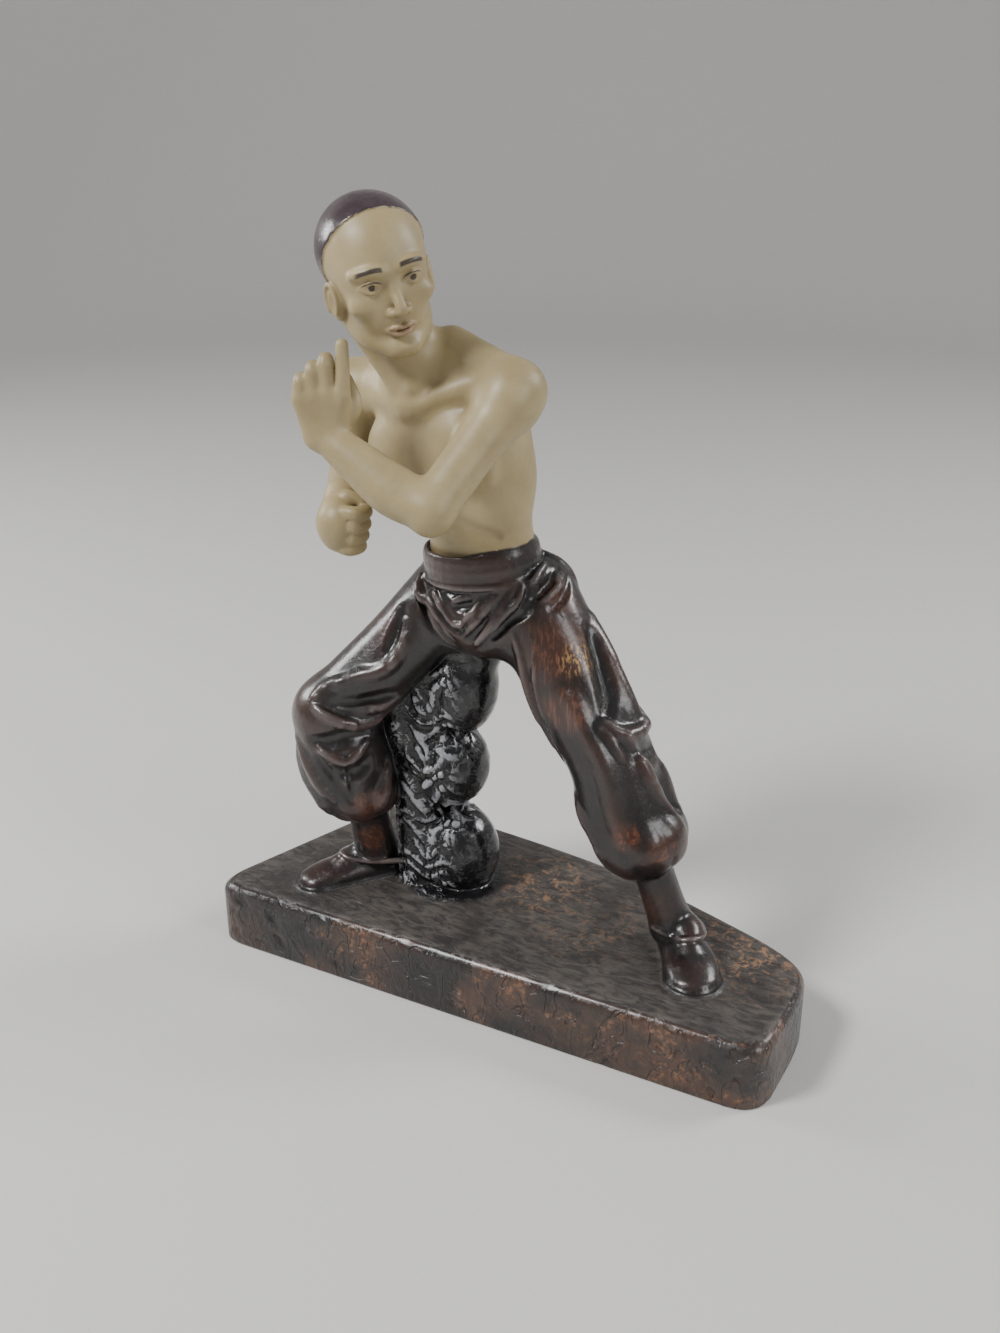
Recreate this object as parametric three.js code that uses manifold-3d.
// Mudman figurine: a bare-chested boxer in gathered trousers and slippers, braced over a craggy rock on a
// thick hand-cut slab, all modelled and fired as one piece of clay.
// Millimetres, +Z up. The origin is the middle of the slab's underside, +X runs along the slab towards the
// figure's straight leg, and the figure faces -Y. The clay is pressed on as smoothly blended lumps and ropes
// in a distance grid, the grid's skin is meshed, and the mesh is thinned where it is flat.
import * as THREE from "three";
import { mergeVertices } from "three/addons/utils/BufferGeometryUtils.js";
import Module from "manifold-3d";

// Driving sizes
const FIGURE_HEIGHT = 272.5; // slab top to crown, in this stance
const SLAB_LENGTH = 233;
const SLAB_DEPTH = 98;
const SLAB_THICKNESS = 27.5;
const SLAB_EDGE_RADIUS = 5;
const CELL = 1.7; // distance grid spacing
const TRIANGLES = 9600;

// The figure's pose and carving are percentages of its height, from the middle of the slab's top.
const PERCENT = FIGURE_HEIGHT / 100;
const spot = (x, y, z) => new THREE.Vector3(x, y, z);
const BOTH_SIDES = [1, -1]; // the figure's left, then its right
const mix = (a, b, t) => a.clone().lerp(b, t);

// A body frame: local x towards the figure's left, y to its front, z up; angles in degrees.
function bodyFrame(origin, turn, bow, tilt) {
  const rad = THREE.MathUtils.degToRad;
  const basis = new THREE.Matrix4()
    .makeRotationZ(rad(turn))
    .multiply(new THREE.Matrix4().makeRotationX(rad(bow)))
    .multiply(new THREE.Matrix4().makeRotationY(rad(tilt)));
  const side = spot(1, 0, 0).applyMatrix4(basis);
  const front = spot(0, -1, 0).applyMatrix4(basis);
  const up = spot(0, 0, 1).applyMatrix4(basis);
  const at = (x, y, z) =>
    origin.clone().addScaledVector(side, x).addScaledVector(front, y).addScaledVector(up, z);
  return { at, side, front, up };
}

// Shapes give a distance in percent units and the box that holds them.
const WORLD_AXES = { side: spot(1, 0, 0), front: spot(0, 1, 0), up: spot(0, 0, 1) };

function egg(centre, radii, axes = WORLD_AXES) {
  const [a, b, c] = radii;
  const { side, front, up } = axes;
  const reach = Math.max(a, b, c);
  function distance(x, y, z) {
    const dx = x - centre.x;
    const dy = y - centre.y;
    const dz = z - centre.z;
    const u = (dx * side.x + dy * side.y + dz * side.z) / a;
    const v = (dx * front.x + dy * front.y + dz * front.z) / b;
    const w = (dx * up.x + dy * up.y + dz * up.z) / c;
    const near = Math.sqrt(u * u + v * v + w * w);
    if (near < 1e-6) return -Math.min(a, b, c);
    const slope = Math.sqrt((u * u) / (a * a) + (v * v) / (b * b) + (w * w) / (c * c));
    return (near * (near - 1)) / slope;
  }
  return { distance, low: centre.clone().subScalar(reach), high: centre.clone().addScalar(reach) };
}

// A rope of clay through the points; each radius is one number, or [across, along the flat axis].
function rope(points, radii, { flat = null, steps = 5, closed = false } = {}) {
  const pairs = radii.map((r) => (Array.isArray(r) ? spot(r[0], r[1], 0) : spot(r, r, 0)));
  const path = new THREE.CatmullRomCurve3(points, closed, "centripetal");
  const girth = new THREE.CatmullRomCurve3(pairs, closed, "centripetal");
  const spans = closed ? points.length : points.length - 1;
  const count = spans * steps;
  const knots = [];
  for (let i = 0; i <= count; i++) {
    const centre = path.getPoint(i / count);
    const size = girth.getPoint(i / count);
    knots.push([centre.x, centre.y, centre.z, size.x, size.y]);
  }
  const reach = Math.max(...knots.map((k) => Math.max(k[3], k[4])));
  const box = new THREE.Box3().setFromPoints(knots.map((k) => spot(k[0], k[1], k[2]))).expandByScalar(reach);
  function distance(x, y, z) {
    let least = Infinity;
    for (let i = 0; i < count; i++) {
      const p = knots[i];
      const q = knots[i + 1];
      const ex = q[0] - p[0];
      const ey = q[1] - p[1];
      const ez = q[2] - p[2];
      const px = x - p[0];
      const py = y - p[1];
      const pz = z - p[2];
      const t = Math.min(1, Math.max(0, (px * ex + py * ey + pz * ez) / (ex * ex + ey * ey + ez * ez + 1e-9)));
      const vx = px - t * ex;
      const vy = py - t * ey;
      const vz = pz - t * ez;
      const across = p[3] + t * (q[3] - p[3]);
      let d;
      if (flat) {
        const along = p[4] + t * (q[4] - p[4]);
        const n = vx * flat.x + vy * flat.y + vz * flat.z;
        const rest = Math.max(0, vx * vx + vy * vy + vz * vz - n * n);
        d = (Math.sqrt(rest / (across * across) + (n * n) / (along * along)) - 1) * Math.min(across, along);
      } else {
        d = Math.sqrt(vx * vx + vy * vy + vz * vz) - across;
      }
      if (d < least) least = d;
    }
    return least;
  }
  return { distance, low: box.min, high: box.max };
}

// The clay: a grid of distances, negative inside, in percent units.
const SLAB_DROP = SLAB_THICKNESS / PERCENT;
const HALF_LENGTH = SLAB_LENGTH / 2 / PERCENT;
const HALF_DEPTH = SLAB_DEPTH / 2 / PERCENT;
const MARGIN = 3;
const FIGURE_LOW = spot(-33, -24, 0); // the figure's own reach, whatever the slab's size
const FIGURE_HIGH = spot(35, 11, 100);
const step = CELL / PERCENT;
const gridLow = spot(-HALF_LENGTH, -HALF_DEPTH, -SLAB_DROP).min(FIGURE_LOW).subScalar(MARGIN);
const gridHigh = spot(HALF_LENGTH, HALF_DEPTH, 0).max(FIGURE_HIGH).addScalar(MARGIN);
const count = gridHigh.clone().sub(gridLow).divideScalar(step).ceil();
const [nx, ny, nz] = [count.x, count.y, count.z];
const FAR = 6;
const clay = new Float32Array(nx * ny * nz).fill(FAR);

function work(shape, soft, merge) {
  const low = shape.low.clone().subScalar(soft + step).sub(gridLow).divideScalar(step).floor();
  const high = shape.high.clone().addScalar(soft + step).sub(gridLow).divideScalar(step).ceil();
  const [x0, y0, z0] = [Math.max(0, low.x), Math.max(0, low.y), Math.max(0, low.z)];
  const [x1, y1, z1] = [Math.min(nx - 1, high.x), Math.min(ny - 1, high.y), Math.min(nz - 1, high.z)];
  for (let k = z0; k <= z1; k++)
    for (let j = y0; j <= y1; j++)
      for (let i = x0; i <= x1; i++) {
        const at = i + nx * (j + ny * k);
        const d = shape.distance(gridLow.x + i * step, gridLow.y + j * step, gridLow.z + k * step);
        clay[at] = merge(clay[at], d);
      }
}

// Presses a shape on, or cuts it out, with a fillet about as wide as `soft`.
function press(shape, soft = 1) {
  work(shape, soft, (a, b) => {
    const h = Math.max(soft - Math.abs(a - b), 0);
    return Math.min(a, b) - (h * h) / (4 * soft);
  });
}

function carve(shape, soft = 0.6) {
  work(shape, soft, (a, b) => {
    const h = Math.max(soft - Math.abs(a + b), 0);
    return Math.max(a, -b) + (h * h) / (4 * soft);
  });
}

// The clay's distance anywhere, and where a line from the origin last leaves the clay within its reach.
function sample(p) {
  const [x, y, z] = p.clone().sub(gridLow).divideScalar(step).toArray();
  const [i, j, k] = [Math.floor(x), Math.floor(y), Math.floor(z)];
  let sum = 0;
  for (let c = 0; c < 8; c++) {
    const [a, b, d] = [c & 1, (c >> 1) & 1, c >> 2];
    const share = (a ? x - i : 1 - x + i) * (b ? y - j : 1 - y + j) * (d ? z - k : 1 - z + k);
    sum += share * clay[i + a + nx * (j + b + ny * (k + d))];
  }
  return sum;
}

function surface(origin, direction, reach) {
  for (let d = reach; d > 0; d -= 0.2) {
    const p = origin.clone().addScaledVector(direction, d);
    if (sample(p) < 0) return p;
  }
  return origin.clone();
}

// A limb is an axis with a front; angles run round it from the front towards the figure's left.
function limbOf(points, reach = 11) {
  const axis = new THREE.CatmullRomCurve3(points, false, "centripetal");
  const front = spot(0, -1, 0);
  function place(t, angle) {
    const centre = axis.getPoint(t);
    const along = axis.getTangent(t);
    const ahead = front.clone().addScaledVector(along, -front.dot(along)).normalize();
    const side = ahead.clone().cross(along);
    const turn = THREE.MathUtils.degToRad(angle);
    const out = ahead.multiplyScalar(Math.cos(turn)).addScaledVector(side, Math.sin(turn));
    return { skin: surface(centre, out, reach), out };
  }
  return { place };
}

// Folds ride on a limb's skin through [t, angle] places; they taper to nothing at both ends.
function foldPath(limb, path, radius, lift) {
  const course = new THREE.CatmullRomCurve3(path.map(([t, angle]) => spot(30 * t, angle / 5, 0)));
  const count = 4 * (path.length - 1);
  const points = [];
  const radii = [];
  for (let i = 0; i <= count; i++) {
    const p = course.getPoint(i / count);
    const { skin, out } = limb.place(Math.min(1, Math.max(0, p.x / 30)), 5 * p.y);
    points.push(skin.addScaledVector(out, lift));
    radii.push(radius * (0.3 + 0.7 * Math.sqrt(Math.sin((Math.PI * i) / count))));
  }
  return rope(points, radii, { steps: 1 });
}
const ridge = (limb, path, radius, soft = radius) => press(foldPath(limb, path, radius, -0.1 * radius), soft);
const groove = (limb, path, radius, soft = radius) => carve(foldPath(limb, path, radius, 0.3 * radius), soft);

// Joints of the pose
const HIP_LEFT = spot(0.8, 0.3, 46.8);
const KNEE_LEFT = spot(13.8, -1.8, 27.5);
const CUFF_LEFT = spot(20.3, -2.2, 13.4);
const ANKLE_LEFT = spot(23.8, -1.6, 3.4);
const HIP_RIGHT = spot(-12, 0.2, 44.6);
const KNEE_RIGHT = spot(-25.4, -9.6, 28.5);
const CUFF_RIGHT = spot(-23, -5.8, 12.6);
const ANKLE_RIGHT = spot(-22.6, -4.2, 4);
const SHOULDER_LEFT = spot(0.9, -4.7, 76.3);
const ELBOW_LEFT = spot(-4.2, -17.4, 63.9);
const WRIST_LEFT = spot(-17.9, -18.9, 71.6);
const SHOULDER_RIGHT = spot(-24.6, -0.6, 73.2);
const ELBOW_RIGHT = spot(-26.4, -0.8, 61.6);
const WRIST_RIGHT = spot(-21.2, -11.2, 61.6);
const chest = bodyFrame(spot(-9.4, -1.6, 66), -12, 9, -11);
const head = bodyFrame(spot(-15.4, -9.6, 89.5), 48, 3, -12);
const leftHand = bodyFrame(WRIST_LEFT, 27, 0, -1);
const rightHand = bodyFrame(spot(-19.2, -13.6, 58.3), 62, 4, 4);

const legLeft = limbOf([HIP_LEFT, KNEE_LEFT, CUFF_LEFT, ANKLE_LEFT]);
const thighRight = limbOf([HIP_RIGHT, KNEE_RIGHT]);
const shinRight = limbOf([KNEE_RIGHT, CUFF_RIGHT, ANKLE_RIGHT]);
const hips = limbOf([spot(-5.7, -1.5, 55), spot(-5.2, -1, 38)], 16);

const CORNER_SOFTNESS = 5; // how far the slab's upright corners are rubbed round, in percent units
const SLAB_OUTLINE = [
  [-0.513, -0.5], [0.501, -0.5], [0.509, 0.09], [0.49, 0.19],
  [0.29, 0.31], [0.145, 0.45], [-0.164, 0.495], [-0.362, 0.52],
];

function slab() {
  const round = SLAB_EDGE_RADIUS / PERCENT;
  const corners = SLAB_OUTLINE.map(([x, y]) => [(x * SLAB_LENGTH) / PERCENT, (y * SLAB_DEPTH) / PERCENT]);
  function distance(x, y, z) {
    let outside = -FAR;
    for (let i = 0; i < corners.length; i++) {
      const [ax, ay] = corners[i];
      const [bx, by] = corners[(i + 1) % corners.length];
      const gap = ((x - ax) * (by - ay) - (y - ay) * (bx - ax)) / Math.hypot(bx - ax, by - ay) + round;
      const h = Math.max(CORNER_SOFTNESS - Math.abs(outside - gap), 0);
      outside = Math.max(outside, gap) + (h * h) / (4 * CORNER_SOFTNESS);
    }
    const above = Math.max(z + round, -z - SLAB_DROP);
    return Math.min(Math.max(outside, above), 0) + Math.hypot(Math.max(outside, 0), Math.max(above, 0)) - round;
  }
  const low = spot(-HALF_LENGTH - 1, -HALF_DEPTH, -SLAB_DROP - MARGIN);
  return { distance, low, high: spot(HALF_LENGTH + 1, HALF_DEPTH, 0) };
}

// A shape whose skin is torn into short wandering wrinkles
function crinkled(shape, depth, pitch) {
  const k = (2 * Math.PI) / pitch;
  function distance(x, y, z) {
    const bend =
      1.6 * Math.sin(0.31 * k * z + 0.37 * k * x + 1.3) + 1.3 * Math.sin(0.43 * k * y - 0.29 * k * x + 0.4);
    const fold = Math.abs(Math.sin(0.5 * k * (x + 0.5 * z) + bend));
    const turn = 1.4 * Math.sin(0.41 * k * x + 2.1) + 1.2 * Math.sin(0.33 * k * z + 0.27 * k * y);
    const tear = Math.abs(Math.sin(0.5 * k * (0.8 * z - 0.6 * y) + turn));
    return shape.distance(x, y, z) + depth * (1 - 1.6 * Math.min(fold, 1 - 0.8 * tear));
  }
  return { distance, low: shape.low.clone().subScalar(depth), high: shape.high.clone().addScalar(depth) };
}

function rock() {
  press(crinkled(egg(spot(-11.6, 0, 5.2), [7.1, 5.9, 7.4]), 0.5, 3.6), 0.6);
  press(crinkled(egg(spot(-12.6, -0.3, 19.6), [6.7, 5.7, 6.8]), 0.5, 3.6), 0.6);
  press(crinkled(egg(spot(-9.8, -0.2, 32.4), [5.3, 5, 7.2]), 0.5, 3.6), 0.6);
  press(rope([spot(-8.6, 0.8, 38), spot(-8.8, 0.8, 44)], [4.4, 5]), 1);
  // A torn sheet of clay stands between the rock and the leg
  const sheet = [spot(-15.6, -2.6, -1), spot(-15.8, -2.8, 12), spot(-15.2, -2.8, 24), spot(-14, -2.6, 30)];
  press(crinkled(rope(sheet, [3, 3, 2.8, 2.4]), 0.3, 3.6), 0.8);
  press(crinkled(egg(spot(-14.2, -1.4, 30.5), [4.6, 3.8, 8.5]), 0.4, 3.6), 0.6);
  press(egg(spot(-17.8, -2.6, 25.5), [3.2, 3.2, 7.5]), 0.8);
  press(egg(spot(-18.2, -2.4, 20), [2.2, 2.6, 6]), 0.8);
  const edge = [spot(-18.3, -3.9, -0.5), spot(-18.5, -4.2, 8), spot(-18.4, -4.2, 15), spot(-18, -4, 21.5)];
  press(rope(edge, [0.55, 0.45, 0.5, 0.35]), 0.7);
  // Its foot spreads on the slab in a thin lip
  press(egg(spot(-11.6, -0.4, -0.1), [8.3, 7, 0.8]), 0.8);
}

function slipper(heel, toe, heelWidth, toeWidth, ankle) {
  const along = toe.clone().sub(heel);
  const across = spot(-along.y, along.x, 0).normalize();
  const up = spot(0, 0, 1);
  const point = (t, s, z) => heel.clone().addScaledVector(along, t).addScaledVector(across, s).setZ(z);
  const layer = (places, radii, soft) => press(rope(places, radii, { flat: up }), soft);
  // A smear of slip, the sole, then the upper
  layer(
    [point(0, 0, 0), point(0.5, 0, 0), point(1, 0, 0)],
    [[heelWidth + 0.5, 0.35], [heelWidth + 0.9, 0.35], [toeWidth + 0.9, 0.35]],
    0.8,
  );
  layer(
    [point(0, 0, 0.6), point(0.5, 0, 0.6), point(1, 0, 0.6)],
    [[heelWidth, 0.65], [heelWidth, 0.65], [toeWidth, 0.65]],
    0.15,
  );
  layer(
    [point(0.02, 0, 1.4), point(0.4, 0, 1.5), point(0.8, 0, 1.4), point(1, 0, 1)],
    [[heelWidth - 0.3, 2.3], [heelWidth - 0.3, 2.3], [toeWidth - 0.3, 1.8], [toeWidth - 0.5, 1.5]],
    0.2,
  );
  // The instep rises out of the slipper's opening, inside its raised rim
  const instep = [ankle, point(0.3, 0, 3.2), point(0.66, 0, 2.1)];
  press(rope(instep, [heelWidth - 0.5, heelWidth - 0.8, heelWidth - 1.4]), 0.5);
  const rim = Array.from({ length: 12 }, (_, i) => {
    const turn = (i * Math.PI) / 6;
    const t = 0.24 + 0.4 * Math.cos(turn);
    return point(t, (heelWidth - 0.7) * Math.sin(turn), 3.9 - 1.6 * Math.max(0, t - 0.1));
  });
  press(rope(rim, rim.map(() => 0.34), { steps: 3, closed: true }), 0.12);
}

function feet() {
  press(rope([CUFF_LEFT, mix(CUFF_LEFT, ANKLE_LEFT, 0.6), ANKLE_LEFT], [2.7, 2.8, 3.1]), 0.3);
  press(rope([CUFF_RIGHT, mix(CUFF_RIGHT, ANKLE_RIGHT, 0.6), ANKLE_RIGHT], [3.1, 3, 3.2]), 0.3);
  slipper(spot(24.6, 0.2, 0), spot(29.4, -7.9, 0), 3.5, 4.1, ANKLE_LEFT);
  slipper(spot(-21.8, -2.4, 0), spot(-28.6, -11.2, 0), 3.4, 3.4, ANKLE_RIGHT);
}

function trousers() {
  press(egg(spot(-5.2, -0.8, 46.2), [9.6, 7.4, 8]), 2);
  const thighLeft = mix(HIP_LEFT, KNEE_LEFT, 0.5);
  const calfLeft = mix(KNEE_LEFT, CUFF_LEFT, 0.5).add(spot(-0.6, 0, 0));
  const shinEndLeft = mix(KNEE_LEFT, CUFF_LEFT, 0.8);
  press(rope([HIP_LEFT, thighLeft, KNEE_LEFT, calfLeft, shinEndLeft], [6.4, 6.2, 5.9, 6.2, 5.5]), 2.5);
  press(rope([HIP_RIGHT, mix(HIP_RIGHT, KNEE_RIGHT, 0.5), KNEE_RIGHT], [6.1, 5.4, 5.4]), 2.5);
  const calfRight = mix(KNEE_RIGHT, CUFF_RIGHT, 0.5).add(spot(-0.5, 0, 0));
  press(rope([KNEE_RIGHT, calfRight, mix(KNEE_RIGHT, CUFF_RIGHT, 0.8)], [5.4, 6.5, 5]), 2);
}

// A closed roll of clay round an axis, its tube pinched in by puckers
function ringOf(centre, axis, radius, tube, puckers, depth, phase) {
  const side = axis.clone().cross(spot(0, 1, 0)).normalize();
  const ahead = side.clone().cross(axis);
  const points = [];
  const radii = [];
  for (let i = 0; i < 4 * puckers; i++) {
    const turn = (2 * Math.PI * i) / (4 * puckers);
    const wave = depth * Math.cos(puckers * turn + phase);
    const out = radius + 0.5 * wave;
    const place = centre.clone().addScaledVector(side, out * Math.cos(turn));
    points.push(place.addScaledVector(ahead, out * Math.sin(turn)));
    radii.push(tube + 0.5 * wave);
  }
  return rope(points, radii, { steps: 2, closed: true });
}

// The legs are bound above the ankle and blouse over the binding in puckered rolls.
function cuffs() {
  for (const [knee, cuff, reach, tube, puckers] of [
    [KNEE_LEFT, CUFF_LEFT, 3.3, 2, 7],
    [KNEE_RIGHT, CUFF_RIGHT, 2.9, 1.8, 6],
  ]) {
    const axis = cuff.clone().sub(knee).normalize();
    const above = (distance) => cuff.clone().addScaledVector(axis, -distance);
    press(ringOf(above(1.2), axis, reach, tube, puckers, 0.35, 0), 1.2);
    press(ringOf(above(3.4), axis, reach + 0.6, tube + 0.4, puckers, 0.3, 1), 2);
    press(egg(above(1.6), [reach + 0.6, reach + 0.6, 1.6]), 1);
  }
}

function foldsOfBentLeg() {
  // A crest from the hip turns along the top of the knee, and two lower ones close a hollow between them
  groove(thighRight, [[0.2, -30], [0.32, -10], [0.42, 2]], 1.1, 1.2);
  groove(thighRight, [[0.62, 52], [0.74, 34], [0.84, 14], [0.93, -4]], 1.3, 1.2);
  groove(shinRight, [[0.02, -2], [0.03, 20], [0.035, 48], [0.07, 82]], 1.5, 1);
  const crest = [[0.23, -17], [0.34, 6], [0.45, 15], [0.55, 12]];
  crest.push([0.65, -3], [0.76, -17], [0.88, -30], [0.98, -28]);
  ridge(thighRight, crest, 1, 0.7);
  ridge(thighRight, [[0.9, 6], [0.86, 24], [0.78, 43], [0.7, 61], [0.58, 70]], 0.75, 0.5);
  ridge(thighRight, [[1, -24], [0.97, 8], [0.93, 30], [0.88, 52], [0.8, 70], [0.66, 76]], 0.95, 0.45);
  // A caught lump under the knee, and slack cloth falling to the cuff
  ridge(shinRight, [[0.05, -2], [0.1, 16], [0.145, 34], [0.125, 54], [0.1, 76]], 0.8, 0.5);
  groove(shinRight, [[0.17, 14], [0.2, 36], [0.18, 60]], 0.9, 1.2);
  groove(shinRight, [[0.1, -2], [0.21, 11], [0.34, 21]], 0.45, 0.8);
  groove(shinRight, [[0.16, 37], [0.33, 25]], 0.35, 0.8);
  ridge(shinRight, [[0.04, -40], [0.18, -22], [0.32, -4]], 0.8, 1.2);
  ridge(shinRight, [[0.24, 100], [0.34, 74], [0.42, 56]], 0.8, 1.2);
  ridge(shinRight, [[0.1, -75], [0.26, -50], [0.42, -30]], 0.9, 1.4);
  ridge(shinRight, [[0.16, -130], [0.32, -110], [0.44, -95]], 0.9, 1.4);
  ridge(shinRight, [[0.12, 160], [0.28, 145], [0.42, 140]], 0.9, 1.4);
}

function foldsOfStraightLeg() {
  // A deep pleat on the inner side and a crest down the shin
  groove(legLeft, [[0.1, -14], [0.17, -33], [0.235, -45], [0.28, -52]], 0.6, 0.4);
  ridge(legLeft, [[0.04, -5], [0.09, -18], [0.14, -34], [0.2, -52], [0.26, -62], [0.31, -64]], 0.9, 0.4);
  ridge(legLeft, [[0.1, 2], [0.16, -24], [0.23, -39], [0.29, -50]], 0.6, 0.4);
  groove(legLeft, [[0.1, 86], [0.15, 80], [0.2, 70], [0.245, 54]], 1, 1.6);
  ridge(legLeft, [[0.19, 21], [0.25, 17], [0.32, 19], [0.37, 15], [0.44, 8], [0.54, 3]], 1.1, 1.6);
  // The cloth sags in shelves over the knee's outer side
  ridge(legLeft, [[0.08, 112], [0.16, 104], [0.24, 98], [0.29, 100]], 1.2, 1.6);
  ridge(legLeft, [[0.25, 42], [0.285, 56], [0.3, 76], [0.3, 96], [0.28, 125], [0.24, 150]], 1.15, 0.5);
  ridge(legLeft, [[0.255, 34], [0.29, 41], [0.335, 46]], 0.7, 0.7);
  groove(legLeft, [[0.325, 60], [0.345, 84], [0.35, 112]], 1.1, 1.2);
  ridge(legLeft, [[0.3, 64], [0.35, 70], [0.4, 72], [0.45, 80], [0.53, 96]], 0.95, 0.7);
  groove(legLeft, [[0.42, 92], [0.48, 104], [0.54, 116]], 0.8, 1.2);
  ridge(legLeft, [[0.4, 118], [0.46, 126], [0.54, 132]], 0.9, 1.4);
  ridge(legLeft, [[0.4, -60], [0.5, -42], [0.58, -34]], 0.8, 1.2);
  ridge(legLeft, [[0.26, 170], [0.38, 190], [0.52, 200]], 1.1, 1.6);
  groove(legLeft, [[0.2, 190], [0.32, 214], [0.46, 226]], 0.9, 1.4);
}

// Gathers hang from both sides of the waist and meet in a point at the fork; plain pleats go round behind.
function gathers() {
  const swags = [
    [0.5, [[0.25, -24], [0.27, -12], [0.25, 5], [0.2, 24], [0.16, 38]]],
    [0.55, [[0.38, -10], [0.36, -2], [0.32, 14], [0.26, 27], [0.16, 40]]],
    [0.5, [[0.56, 0], [0.42, 18], [0.3, 33], [0.18, 46]]],
    [0.65, [[0.66, 1], [0.52, 18], [0.38, 35], [0.27, 47], [0.13, 60]]],
    [0.6, [[0.74, 14], [0.64, 25], [0.48, 39], [0.36, 50], [0.24, 60], [0.1, 70]]],
    [0.5, [[0.6, 34], [0.44, 49], [0.34, 60], [0.2, 69]]],
    [0.5, [[0.24, -70], [0.36, -62], [0.48, -43], [0.64, -28], [0.8, -14]]],
    [0.75, [[0.3, -72], [0.44, -54], [0.6, -42], [0.78, -34], [0.94, -24]]],
    [0.6, [[0.34, -40], [0.42, -31], [0.52, -19], [0.57, -8], [0.56, 3]]],
    [0.5, [[0.28, 67], [0.2, 77], [0.13, 98]]],
    [0.45, [[0.36, 72], [0.3, 84], [0.2, 100]]],
  ];
  for (const [radius, swag] of swags) {
    groove(hips, swag.map(([t, angle]) => [t + 0.06, angle + 3]), 1.4 * radius, 0.5);
  }
  for (const [radius, swag] of swags) ridge(hips, swag, 1.3 * radius, 0.25);
  for (let i = 0; i < 9; i++) {
    ridge(hips, [[0.08, 118 + 16 * i], [0.2, 116 + 17 * i], [0.38, 114 + 18 * i]], 0.6, 0.9);
  }
}

function waistband() {
  const seat = bodyFrame(spot(-5.8, -1.5, 52.7), 0, 3, -7);
  const roundTheWaist = (out, up) =>
    Array.from({ length: 12 }, (_, i) => {
      const turn = (i * Math.PI) / 6;
      return seat.at((7.7 + out) * Math.cos(turn), (6.2 + out) * Math.sin(turn), up);
    });
  const band = roundTheWaist(0, 0);
  press(rope(band, band.map(() => [0.6, 2.1]), { flat: seat.up, closed: true, steps: 3 }), 0.3);
  const hem = roundTheWaist(0.35, -2.2);
  press(rope(hem, hem.map(() => 0.4), { closed: true, steps: 3 }), 0.4);
}

function torso() {
  const spine = [spot(-5.5, -1.3, 50), spot(-6.3, -1.3, 57), spot(-8.6, -1.5, 64.5), spot(-11.2, -2.6, 73)];
  press(rope(spine, [[7.5, 5.8], [7.8, 5.8], [9.4, 6.9], [8.6, 5.2]], { flat: chest.front }), 1);
  const acrossShoulders = (t) => mix(SHOULDER_RIGHT, SHOULDER_LEFT, t);
  press(rope([acrossShoulders(0.16), chest.at(0, -0.5, 8), acrossShoulders(0.86)], [3.6, 4.4, 3.6]), 3);
  for (const s of BOTH_SIDES) {
    press(egg(chest.at(4.9 * s, 4.4, 2), [5.8, 3, 5.4], chest), 1.6);
    press(egg(chest.at(6.4 * s, -2.4, -0.4), [2.9, 4.2, 7.6], chest), 2);
    press(egg(chest.at(4.6 * s, -4.8, 4), [4, 2.2, 5], chest), 2);
    const collarbone = [chest.at(1 * s, 6.2, 8.3), chest.at(5 * s, 5, 9.6), chest.at(10 * s, 1.4, 10.4)];
    press(rope(collarbone, [0.8, 0.7, 0.9]), 1.2);
    press(rope([chest.at(3 * s, -1.8, 14), chest.at(10 * s, -1.4, 10.6)], [2, 1.6]), 3);
    const ribs = [chest.at(0.6 * s, 6.3, -5.6), chest.at(4 * s, 6.6, -7.4), chest.at(7.4 * s, 3.6, -10)];
    carve(rope(ribs, [0.4, 0.5, 0.3]), 1.4);
  }
  carve(rope([chest.at(0, 8, 5.6), chest.at(0, 7.8, 0), chest.at(0, 7.4, -8)], [0.4, 0.5, 0.4]), 1.2);
  carve(rope([chest.at(0, -8, 8), chest.at(0, -7.6, -2), chest.at(0, -7, -12)], [0.6, 0.6, 0.5]), 1.6);
}

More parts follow.
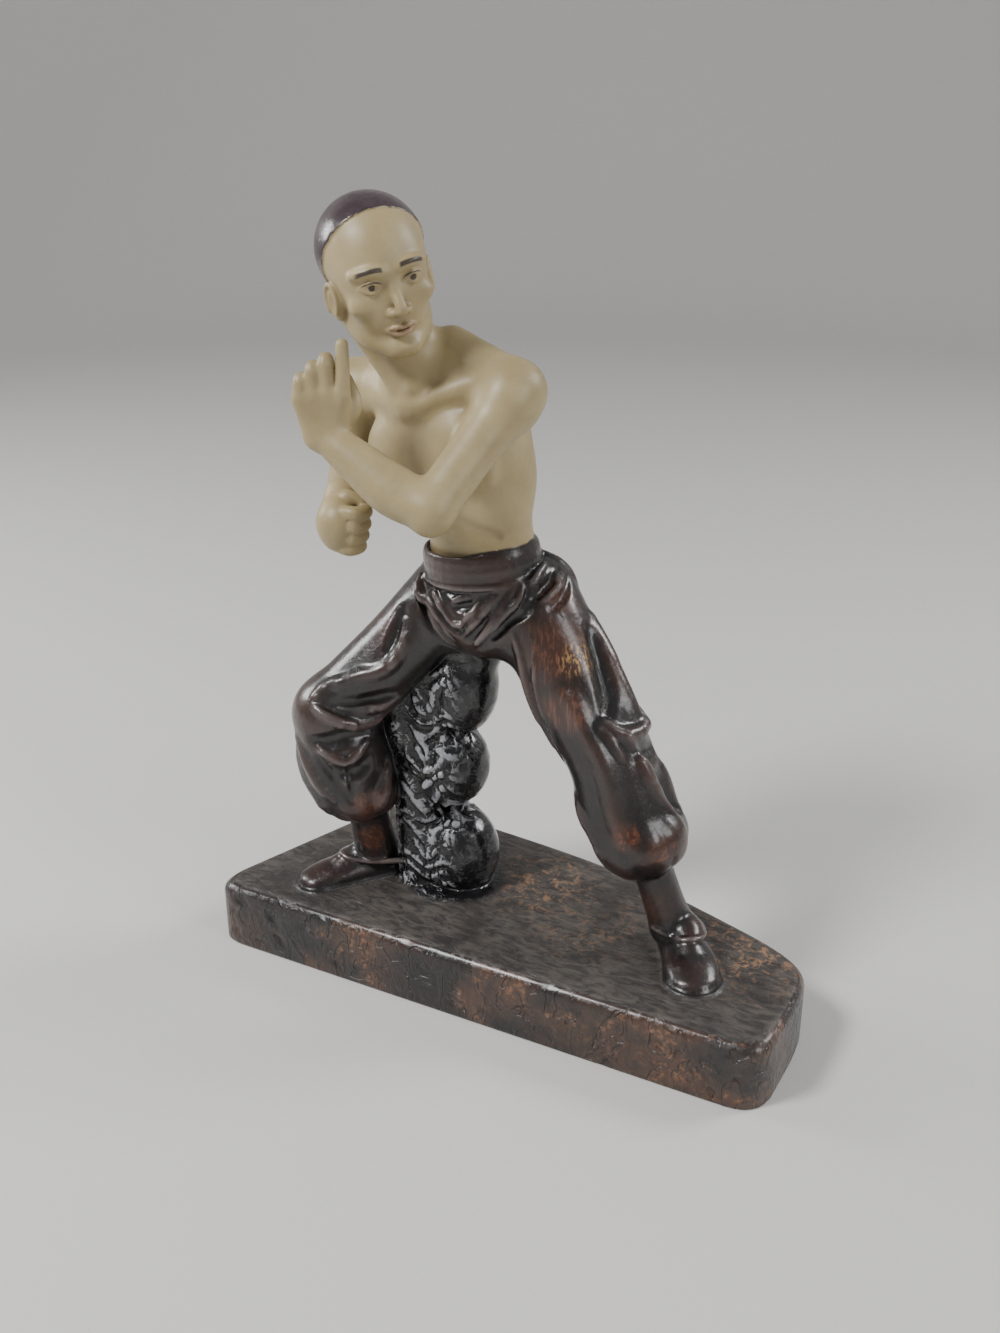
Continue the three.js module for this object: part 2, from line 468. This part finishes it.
function neckAndHead() {
  press(rope([spot(-12.6, -3.6, 74), spot(-13.7, -5.6, 79.5), head.at(0, -2.4, -3)], [4.9, 4, 4.4]), 1.5);
  press(egg(head.at(0, -1.4, 3.2), [6.5, 7.9, 6.5], head), 1);
  press(egg(head.at(0, 1.8, 1.6), [5.5, 4.9, 5], head), 1);
  press(egg(head.at(0, 1.4, -2.2), [5, 5.3, 6.3], head), 1.4);
  press(egg(head.at(0, 5.2, -7.5), [1.7, 1.4, 1.2], head), 1.4);
  for (const s of BOTH_SIDES) {
    const neckCord = [head.at(4.6 * s, -2.6, -4), spot(-13.2, -8, 76).addScaledVector(chest.side, 1.6 * s)];
    press(rope(neckCord, [1, 0.9]), 1);
    const jaw = [head.at(4.5 * s, -1.2, -3.6), head.at(3.5 * s, 2.4, -6.3), head.at(1.2 * s, 5.1, -7.7)];
    press(rope(jaw, [1.1, 1.1, 0.9]), 1.4);
    press(egg(head.at(3.7 * s, 4, -1.9), [1.6, 1.4, 1.2], head), 1.2);
    carve(egg(head.at(2.55 * s, 7.3, 0.5), [1.75, 1.15, 0.95], head), 0.9);
    press(egg(head.at(2.55 * s, 5.1, 0.45), [1.4, 1.3, 1.15], head), 0.2);
    const brow = [head.at(0.9 * s, 6.5, 2), head.at(2.6 * s, 6.5, 2.4), head.at(4.5 * s, 5, 2)];
    press(rope(brow, [0.4, 0.5, 0.35]), 0.9);
    press(egg(head.at(0.95 * s, 6.7, -2.85), [0.62, 0.8, 0.55], head), 0.3);
    const ear = bodyFrame(head.at(5.75 * s, -0.1, -1.6), 48 - 20 * s, 3, -12);
    press(egg(ear.at(0, 0, 0), [0.9, 1.6, 2.6], ear), 0.4);
    carve(egg(ear.at(0.95 * s, 0.15, -0.1), [0.5, 0.8, 1.3], ear), 0.3);
  }
  const nose = [head.at(0, 6.2, 1.5), head.at(0, 6.8, -0.6), head.at(0, 7.75, -2.5), head.at(0, 7.1, -3)];
  press(rope(nose, [0.55, 0.6, 0.72, 0.5]), 0.6);
  const upperLip = [head.at(-1.8, 5.8, -5), head.at(0, 6.7, -4.7), head.at(1.8, 5.8, -5)];
  press(rope(upperLip, [0.3, 0.4, 0.3]), 0.3);
  const lowerLip = [head.at(-1.6, 5.85, -5.4), head.at(0, 6.55, -5.75), head.at(1.6, 5.85, -5.4)];
  press(rope(lowerLip, [0.3, 0.45, 0.3]), 0.3);
}

function leftArm() {
  press(egg(mix(SHOULDER_LEFT, ELBOW_LEFT, 0.08), [3.8, 4.2, 4.5]), 2);
  press(rope([SHOULDER_LEFT, mix(SHOULDER_LEFT, ELBOW_LEFT, 0.5), ELBOW_LEFT], [3.7, 3, 2.9]), 1.5);
  const belly = mix(ELBOW_LEFT, WRIST_LEFT, 0.32).add(spot(-0.3, 0, -0.8));
  const taper = mix(ELBOW_LEFT, WRIST_LEFT, 0.7).add(spot(-0.2, 0, -0.4));
  press(rope([ELBOW_LEFT, belly, taper, WRIST_LEFT], [2.9, 3.2, 2.6, 2]), 1);
  press(egg(ELBOW_LEFT.clone().add(spot(0.2, -0.6, -1)), [2.1, 2.1, 2.1]), 1);
  // The palm turns to the face; three fingers are folded and the first one points up.
  const hand = leftHand;
  const knuckles = [[-2.7, 4.6], [-1.1, 5], [0.6, 5.2], [2.3, 5.1]];
  for (const [x, z] of knuckles) {
    const bone = [hand.at(0.45 * x, 0, 0), hand.at(x, 0.3, z)];
    press(rope(bone, [[1.5, 1.2], [1.1, 1.1]], { flat: hand.front }), 1);
  }
  knuckles.slice(0, 3).forEach(([x, z], i) => {
    const top = z + [2.3, 3.3, 4][i];
    const finger = [hand.at(x, 0.3, z), hand.at(x * 0.95, 0.2, top)];
    finger.push(hand.at(x * 0.9, -2.2, top - 1), hand.at(x * 0.85, -2.4, z));
    press(rope(finger, [0.95, 0.85, 0.85, 0.75]), 0.25);
  });
  const pointer = [hand.at(2.3, 0.3, 5.1), hand.at(2.5, 0.1, 8.2), hand.at(2.6, -0.4, 11.3)];
  press(rope(pointer, [1.02, 0.92, 0.76]), 0.25);
  const thumb = [hand.at(1.4, -1, 0.8), hand.at(3.4, -1.3, 3.4), hand.at(2.6, -2.8, 6.2)];
  press(rope(thumb, [1.3, 1.15, 0.8]), 0.5);
}

function rightArm() {
  press(egg(mix(SHOULDER_RIGHT, ELBOW_RIGHT, 0.08), [3.8, 4.1, 4.4]), 2);
  press(rope([SHOULDER_RIGHT, mix(SHOULDER_RIGHT, ELBOW_RIGHT, 0.5), ELBOW_RIGHT], [3.6, 2.9, 2.8]), 1.5);
  press(rope([ELBOW_RIGHT, mix(ELBOW_RIGHT, WRIST_RIGHT, 0.35), WRIST_RIGHT], [2.8, 2.7, 1.9]), 1);
  // An upright fist: a smooth back of the hand, the fingers rolled in, the thumb along the top.
  const fist = rightHand;
  press(rope([WRIST_RIGHT, fist.at(-0.8, -0.6, 0.6)], [2.1, 2.8]), 1);
  press(egg(fist.at(-0.9, -0.5, 0.1), [2.4, 3, 3.5], fist), 0.8);
  for (let i = 0; i < 4; i++) {
    const z = 2.5 - 1.65 * i;
    const ahead = 2.5 - 0.1 * i * i;
    const knuckle = fist.at(-0.1, ahead, z);
    const finger = [fist.at(-1.3, 0.2, z), knuckle, fist.at(1.6, ahead - 0.5, z), fist.at(1.9, 0, z)];
    press(rope(finger, [0.75, 1, 0.98, 0.85]), 0.12);
  }
  const thumb = [fist.at(-0.6, -2.2, 2.4), fist.at(0.3, -0.6, 3.7), fist.at(1.6, 0.7, 3.4)];
  press(rope(thumb, [1.2, 1.05, 0.8]), 0.25);
}

trousers();
cuffs();
press(slab(), 0.3);
rock();
feet();
foldsOfBentLeg();
foldsOfStraightLeg();
gathers();
torso();
waistband();
leftArm();
rightArm();
neckAndHead();

// Everything joined to a grid point on its own side of the surface.
function joined(start) {
  const inside = clay[start] < 0;
  const seen = new Uint8Array(clay.length);
  const queue = [start];
  seen[start] = 1;
  while (queue.length) {
    const at = queue.pop();
    for (const hop of [1, -1, nx, -nx, nx * ny, -nx * ny]) {
      const next = at + hop;
      if (next < 0 || next >= clay.length || seen[next] || clay[next] < 0 !== inside) continue;
      seen[next] = 1;
      queue.push(next);
    }
  }
  return seen;
}

// Where two lumps only touch along a line or at a point, the notch between them is filled.
function sealNotches() {
  const strides = [1, nx, nx * ny];
  const cube = [0, 1, 2, 3, 4, 5, 6, 7].map((c) => (c & 1) + ((c >> 1) & 1) * nx + (c >> 2) * nx * ny);
  let filled = 0;
  const fill = (...spots) => {
    for (const at of spots) if (clay[at] >= 0) clay[at] = -0.05;
    filled++;
  };
  for (let at = 0; at < clay.length - nx * ny - nx - 1; at++) {
    if (Math.abs(clay[at]) > 2) continue;
    for (let axis = 0; axis < 3; axis++) {
      const u = strides[axis];
      const v = strides[(axis + 1) % 3];
      const [a, b, c, d] = [at, at + u, at + u + v, at + v].map((i) => clay[i] < 0);
      if (a === c && b === d && a !== b) fill(at, at + u, at + u + v, at + v);
    }
    for (let c = 0; c < 4; c++) {
      const pair = clay[at + cube[c]] < 0;
      if (pair !== clay[at + cube[7 - c]] < 0) continue;
      const others = [0, 1, 2, 3, 4, 5, 6, 7].filter((i) => i !== c && i !== 7 - c);
      if (others.some((i) => clay[at + cube[i]] < 0 === pair)) continue;
      fill(at + cube[c], at + cube[7 - c], at + cube[others[0]]);
    }
  }
  return filled;
}
while (sealNotches());

// Closed bubbles are filled, and loose crumbs taken away.
const air = joined(0);
for (let at = 0; at < clay.length; at++) if (clay[at] >= 0 && !air[at]) clay[at] = -0.1;
const middle = spot(0, 0, -SLAB_DROP / 2).sub(gridLow).divideScalar(step).round();
const body = joined(middle.x + nx * (middle.y + ny * middle.z));
for (let at = 0; at < clay.length; at++) if (clay[at] < 0 && !body[at]) clay[at] = 0.1;

// Skins the clay: one vertex in each cell that the surface crosses, one quad round each crossed grid edge.
function skin() {
  const points = [];
  const faces = [];
  const vertexOf = new Int32Array(nx * ny * nz).fill(-1);
  const strides = [1, nx, nx * ny];
  const corners = [0, 1, 2, 3, 4, 5, 6, 7].map((c) => [c & 1, (c >> 1) & 1, (c >> 2) & 1]);
  const edges = [];
  for (let c = 0; c < 8; c++) {
    for (let axis = 0; axis < 3; axis++) if (!corners[c][axis]) edges.push([c, c | (1 << axis)]);
  }
  const offset = corners.map(([i, j, k]) => i * strides[0] + j * strides[1] + k * strides[2]);
  for (let k = 0; k < nz - 1; k++)
    for (let j = 0; j < ny - 1; j++)
      for (let i = 0; i < nx - 1; i++) {
        const at = i + nx * (j + ny * k);
        let inside = 0;
        for (let c = 0; c < 8; c++) if (clay[at + offset[c]] < 0) inside++;
        if (inside === 0 || inside === 8) continue;
        const sum = [0, 0, 0];
        let crossings = 0;
        for (const [a, b] of edges) {
          const da = clay[at + offset[a]];
          const db = clay[at + offset[b]];
          if (da < 0 === db < 0) continue;
          const t = da / (da - db);
          for (let axis = 0; axis < 3; axis++) {
            sum[axis] += corners[a][axis] + t * (corners[b][axis] - corners[a][axis]);
          }
          crossings++;
        }
        vertexOf[at] = points.length / 3;
        points.push(
          (gridLow.x + (i + sum[0] / crossings) * step) * PERCENT,
          (gridLow.y + (j + sum[1] / crossings) * step) * PERCENT,
          (gridLow.z + (k + sum[2] / crossings) * step) * PERCENT + SLAB_THICKNESS,
        );
      }
  for (let k = 1; k < nz - 1; k++)
    for (let j = 1; j < ny - 1; j++)
      for (let i = 1; i < nx - 1; i++) {
        const at = i + nx * (j + ny * k);
        for (let axis = 0; axis < 3; axis++) {
          const here = clay[at] < 0;
          if (here === clay[at + strides[axis]] < 0) continue;
          const u = strides[(axis + 1) % 3];
          const v = strides[(axis + 2) % 3];
          const [a, b, c, d] = [at - u - v, at - v, at, at - u].map((cell) => vertexOf[cell]);
          if (here) faces.push(a, b, c, a, c, d);
          else faces.push(a, c, b, a, d, c);
        }
      }
  return { points, faces };
}

// Thins the mesh by collapsing the edges that bend the surface least (quadric error), keeping it closed.
function thin({ points, faces }, target, weightAt) {
  const p = Float64Array.from(points);
  const f = Int32Array.from(faces);
  const vertexCount = p.length / 3;
  const quadrics = new Float64Array(vertexCount * 10);
  const facesOf = Array.from({ length: vertexCount }, () => []);
  const version = new Int32Array(vertexCount);
  const alive = new Uint8Array(f.length / 3).fill(1);

  function normal(a, b, c, moved, x, y, z) {
    const at = (v, axis) => (v === moved ? [x, y, z][axis] : p[3 * v + axis]);
    const ux = at(b, 0) - at(a, 0);
    const uy = at(b, 1) - at(a, 1);
    const uz = at(b, 2) - at(a, 2);
    const vx = at(c, 0) - at(a, 0);
    const vy = at(c, 1) - at(a, 1);
    const vz = at(c, 2) - at(a, 2);
    return [uy * vz - uz * vy, uz * vx - ux * vz, ux * vy - uy * vx];
  }

  for (let t = 0; t < alive.length; t++) {
    const [a, b, c] = [f[3 * t], f[3 * t + 1], f[3 * t + 2]];
    for (const v of [a, b, c]) facesOf[v].push(t);
    const n = normal(a, b, c, -1);
    const area = Math.hypot(...n) || 1e-12;
    const [x, y, z] = n.map((q) => q / area);
    const w = -(x * p[3 * a] + y * p[3 * a + 1] + z * p[3 * a + 2]);
    const weight = area * weightAt(p[3 * a], p[3 * a + 1], p[3 * a + 2]);
    const q = [x * x, x * y, x * z, x * w, y * y, y * z, y * w, z * z, z * w, w * w];
    for (const v of [a, b, c]) for (let i = 0; i < 10; i++) quadrics[10 * v + i] += weight * q[i];
  }

  function cost(q, x, y, z) {
    return (
      q[0] * x * x + 2 * q[1] * x * y + 2 * q[2] * x * z + 2 * q[3] * x + q[4] * y * y +
      2 * q[5] * y * z + 2 * q[6] * y + q[7] * z * z + 2 * q[8] * z + q[9]
    );
  }

  function best(a, b) {
    const q = new Float64Array(10);
    for (let i = 0; i < 10; i++) q[i] = quadrics[10 * a + i] + quadrics[10 * b + i];
    const middle = [0, 1, 2].map((i) => (p[3 * a + i] + p[3 * b + i]) / 2);
    const pull = 1e-4 * (q[0] + q[4] + q[7]) + 1e-12;
    const [m00, m01, m02, m11, m12, m22] = [q[0] + pull, q[1], q[2], q[4] + pull, q[5], q[7] + pull];
    const [r0, r1, r2] = [pull * middle[0] - q[3], pull * middle[1] - q[6], pull * middle[2] - q[8]];
    const c00 = m11 * m22 - m12 * m12;
    const c01 = m02 * m12 - m01 * m22;
    const c02 = m01 * m12 - m02 * m11;
    const det = m00 * c00 + m01 * c01 + m02 * c02;
    const c11 = m00 * m22 - m02 * m02;
    const c12 = m01 * m02 - m00 * m12;
    const c22 = m00 * m11 - m01 * m01;
    const x = (c00 * r0 + c01 * r1 + c02 * r2) / det;
    const y = (c01 * r0 + c11 * r1 + c12 * r2) / det;
    const z = (c02 * r0 + c12 * r1 + c22 * r2) / det;
    return { x, y, z, cost: cost(q, x, y, z) };
  }

  const heap = [];
  function push(entry) {
    let i = heap.push(entry) - 1;
    while (i > 0) {
      const up = (i - 1) >> 1;
      if (heap[up].cost <= heap[i].cost) break;
      [heap[up], heap[i]] = [heap[i], heap[up]];
      i = up;
    }
  }
  function pop() {
    const top = heap[0];
    const last = heap.pop();
    if (heap.length) {
      heap[0] = last;
      for (let i = 0; ; ) {
        let least = i;
        for (const child of [2 * i + 1, 2 * i + 2])
          if (child < heap.length && heap[child].cost < heap[least].cost) least = child;
        if (least === i) break;
        [heap[least], heap[i]] = [heap[i], heap[least]];
        i = least;
      }
    }
    return top;
  }
  const offer = (a, b) => push({ a, b, va: version[a], vb: version[b], ...best(a, b) });

  function neighbours(v) {
    const found = new Set();
    for (const t of facesOf[v]) for (let i = 0; i < 3; i++) if (f[3 * t + i] !== v) found.add(f[3 * t + i]);
    return found;
  }

  function flips(v, other, x, y, z) {
    for (const t of facesOf[v]) {
      const [a, b, c] = [f[3 * t], f[3 * t + 1], f[3 * t + 2]];
      if (a === other || b === other || c === other) continue;
      const was = normal(a, b, c, -1);
      const is = normal(a, b, c, v, x, y, z);
      const dot = was[0] * is[0] + was[1] * is[1] + was[2] * is[2];
      if (dot <= 0.2 * Math.hypot(...was) * Math.hypot(...is)) return true;
    }
    return false;
  }

  for (let v = 0; v < vertexCount; v++) for (const n of neighbours(v)) if (v < n) offer(v, n);
  let left = alive.length;
  while (left > target && heap.length) {
    const { a, b, va, vb, x, y, z } = pop();
    if (version[a] !== va || version[b] !== vb) continue;
    const around = neighbours(a);
    const shared = [...neighbours(b)].filter((v) => around.has(v));
    if (shared.length !== 2 || flips(a, b, x, y, z) || flips(b, a, x, y, z)) continue;
    [p[3 * a], p[3 * a + 1], p[3 * a + 2]] = [x, y, z];
    for (let i = 0; i < 10; i++) quadrics[10 * a + i] += quadrics[10 * b + i];
    for (const t of facesOf[b]) {
      const slot = [0, 1, 2].find((i) => f[3 * t + i] === b);
      if ([0, 1, 2].some((i) => f[3 * t + i] === a)) {
        alive[t] = 0;
        left--;
      } else {
        f[3 * t + slot] = a;
        facesOf[a].push(t);
      }
    }
    facesOf[b] = [];
    version[b]++;
    version[a]++;
    facesOf[a] = facesOf[a].filter((t) => alive[t]);
    for (const n of neighbours(a)) {
      facesOf[n] = facesOf[n].filter((t) => alive[t]);
      offer(a, n);
    }
  }
  const renamed = new Map();
  const kept = { points: [], faces: [] };
  for (let t = 0; t < alive.length; t++) {
    if (!alive[t]) continue;
    for (let i = 0; i < 3; i++) {
      const v = f[3 * t + i];
      if (!renamed.has(v)) {
        renamed.set(v, renamed.size);
        kept.points.push(p[3 * v], p[3 * v + 1], p[3 * v + 2]);
      }
      kept.faces.push(renamed.get(v));
    }
  }
  return kept;
}

const wasm = await Module();
wasm.setup();

function solidOf({ points, faces }) {
  const data = { numProp: 3, vertProperties: Float32Array.from(points), triVerts: Uint32Array.from(faces) };
  return new wasm.Manifold(new wasm.Mesh(data));
}

// The face, the hands and the gathers at the fork keep finer facets than the slab and the legs.
const DETAIL = [
  { centre: head.at(0, 0, 0), reach: 12, weight: 6 },
  { centre: leftHand.at(0, 0, 6), reach: 8, weight: 6 },
  { centre: rightHand.at(0, 0, 0), reach: 7, weight: 5 },
  { centre: spot(-6, -6, 47), reach: 11, weight: 3 },
];
function detailWeight(x, y, z) {
  const here = spot(x, y, z - SLAB_THICKNESS).divideScalar(PERCENT);
  const near = DETAIL.find((d) => here.distanceTo(d.centre) < d.reach);
  return near ? near.weight : 1;
}

const modelled = solidOf(thin(skin(), TRIANGLES, detailWeight));

// The underside is sliced flat, as the potter cuts it off the board with a wire.
const board = new THREE.BoxGeometry(2 * SLAB_LENGTH, 3 * SLAB_DEPTH, 2 * SLAB_THICKNESS);
board.translate(0, 0, -SLAB_THICKNESS);
board.deleteAttribute("normal");
board.deleteAttribute("uv");
const merged = mergeVertices(board);
const cutter = solidOf({ points: merged.attributes.position.array, faces: merged.index.array });
const finished = modelled.subtract(cutter).getMesh();

const geometry = new THREE.BufferGeometry();
geometry.setAttribute("position", new THREE.BufferAttribute(finished.vertProperties, finished.numProp));
geometry.setIndex(new THREE.BufferAttribute(finished.triVerts, 1));
geometry.computeVertexNormals();

const glazedClay = new THREE.MeshStandardMaterial({ color: "#3a2420", roughness: 0.35, metalness: 0 });
const figurine = new THREE.Mesh(geometry, glazedClay);
figurine.name = "mudman_figurine";

const model = new THREE.Group();
model.add(figurine);
export default model;
